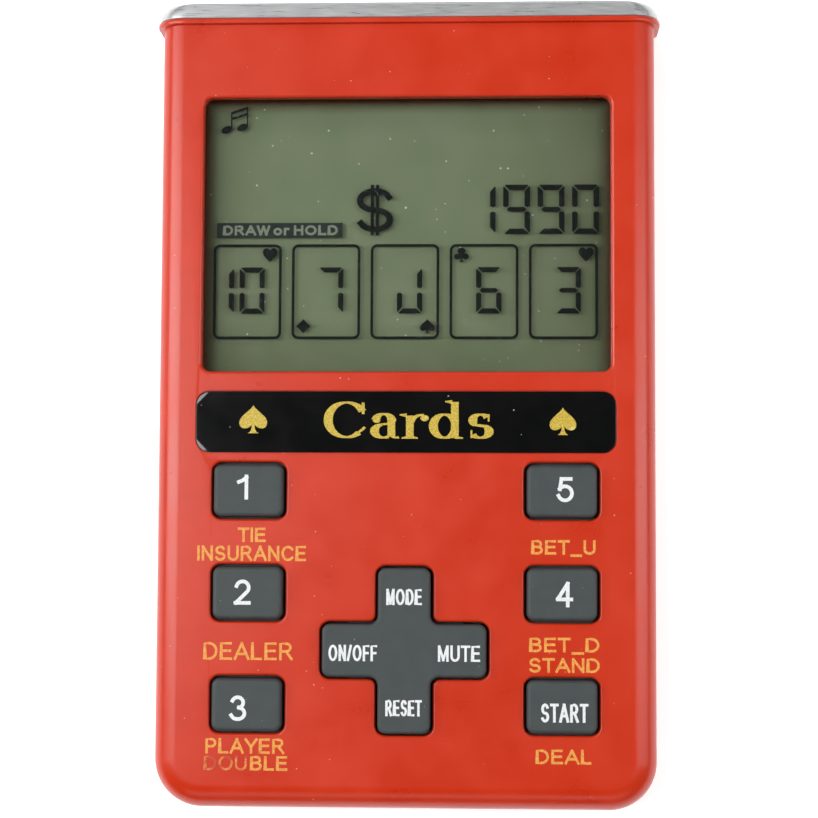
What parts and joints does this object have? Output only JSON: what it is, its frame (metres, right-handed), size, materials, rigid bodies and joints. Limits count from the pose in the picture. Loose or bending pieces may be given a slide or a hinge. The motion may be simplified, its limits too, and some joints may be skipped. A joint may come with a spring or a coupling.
{
  "type": "handheld card game",
  "caption": "Pocket battery-powered LCD card game: flat red two-shell case, display window, black plate, rubber keys, a plus-shaped key, silver end cap and a sliding battery door.",
  "frame": {"origin": "middle of the case outline, on the flat back face", "axes": "+Z out of the face with the display and keys, +Y along the case towards the silver end cap, +X to the right"},
  "size_m": [0.064, 0.101, 0.0097],
  "materials": {
    "case_red": "satin",
    "cap_silver": "satin",
    "clear_pane": "polished",
    "black_print": "satin",
    "display_glass": "polished",
    "display_grey": "matt",
    "cream_plastic": "matt",
    "cream_rubber": "matt",
    "key_rubber": "matt",
    "board_green": "satin",
    "black_resin": "gloss",
    "brass": "satin",
    "steel": "satin",
    "wire_red": "satin",
    "wire_black": "satin",
    "carbon": "matt"
  },
  "bodies": {
    "case": {"front_housing": "case_red", "back_housing": "case_red", "top_cap": "cap_silver", "display_lens": "clear_pane", "lens_tape": "black_print", "title_label": "black_print", "lcd_front_glass": "display_glass", "lcd_rear_glass": "display_glass", "lcd_reflector": "display_grey", "lcd_frame": "cream_plastic", "zebra_strip": "cream_rubber", "keypad_mat": "key_rubber", "main_board": "board_green", "chip_blob": "black_resin", "capacitor": "brass", "crystal": "steel", "buzzer_disc": "brass", "buzzer_ceramic": "cream_plastic", "buzzer_lead_red": "wire_red", "buzzer_lead_black": "wire_black", "battery_cell_1": "steel", "battery_cell_2": "steel", "contact_positive": "steel", "contact_negative": "steel", "case_screw_1": "steel", "board_screw_1": "steel", "case_screw_2": "steel", "board_screw_2": "steel", "case_screw_3": "steel", "board_screw_3": "steel", "case_screw_4": "steel", "board_screw_4": "steel"},
    "button_1": {"key_1": "key_rubber", "pill_1": "carbon"},
    "button_2": {"key_2": "key_rubber", "pill_2": "carbon"},
    "button_3": {"key_3": "key_rubber", "pill_3": "carbon"},
    "button_5": {"key_5": "key_rubber", "pill_5": "carbon"},
    "button_4": {"key_4": "key_rubber", "pill_4": "carbon"},
    "button_start": {"key_start": "key_rubber", "pill_start": "carbon"},
    "cross_nub": {"cross_pivot": "key_rubber"},
    "cross_button": {"cross_key": "key_rubber", "pill_mode": "carbon", "pill_on_off": "carbon", "pill_mute": "carbon", "pill_reset": "carbon"},
    "door": {"battery_door": "case_red", "contact_bridge": "steel"}
  },
  "joints": [
    {"name": "press_1", "type": "slide", "parent": "case", "child": "button_1", "axis": [0, 0, -1], "range_m": [0, 0.0008], "stiffness_N_per_m": 200},
    {"name": "press_2", "type": "slide", "parent": "case", "child": "button_2", "axis": [0, 0, -1], "range_m": [0, 0.0008], "stiffness_N_per_m": 200},
    {"name": "press_3", "type": "slide", "parent": "case", "child": "button_3", "axis": [0, 0, -1], "range_m": [0, 0.0008], "stiffness_N_per_m": 200},
    {"name": "press_5", "type": "slide", "parent": "case", "child": "button_5", "axis": [0, 0, -1], "range_m": [0, 0.0008], "stiffness_N_per_m": 200},
    {"name": "press_4", "type": "slide", "parent": "case", "child": "button_4", "axis": [0, 0, -1], "range_m": [0, 0.0008], "stiffness_N_per_m": 200},
    {"name": "press_start", "type": "slide", "parent": "case", "child": "button_start", "axis": [0, 0, -1], "range_m": [0, 0.0008], "stiffness_N_per_m": 200},
    {"name": "cross_rock_up_down", "type": "hinge", "parent": "case", "child": "cross_nub", "pos_m": [0, -0.0309, 0.0081], "axis": [1, 0, 0], "range_deg": [-4, 4], "stiffness_Nm_per_rad": 0.02},
    {"name": "cross_rock_left_right", "type": "hinge", "parent": "cross_nub", "child": "cross_button", "pos_m": [0, -0.0309, 0.0081], "axis": [0, 1, 0], "range_deg": [-4, 4], "stiffness_Nm_per_rad": 0.02},
    {"name": "battery_door_slide", "type": "slide", "parent": "case", "child": "door", "axis": [0, -1, 0], "range_m": [0, 0.004]}
  ]
}
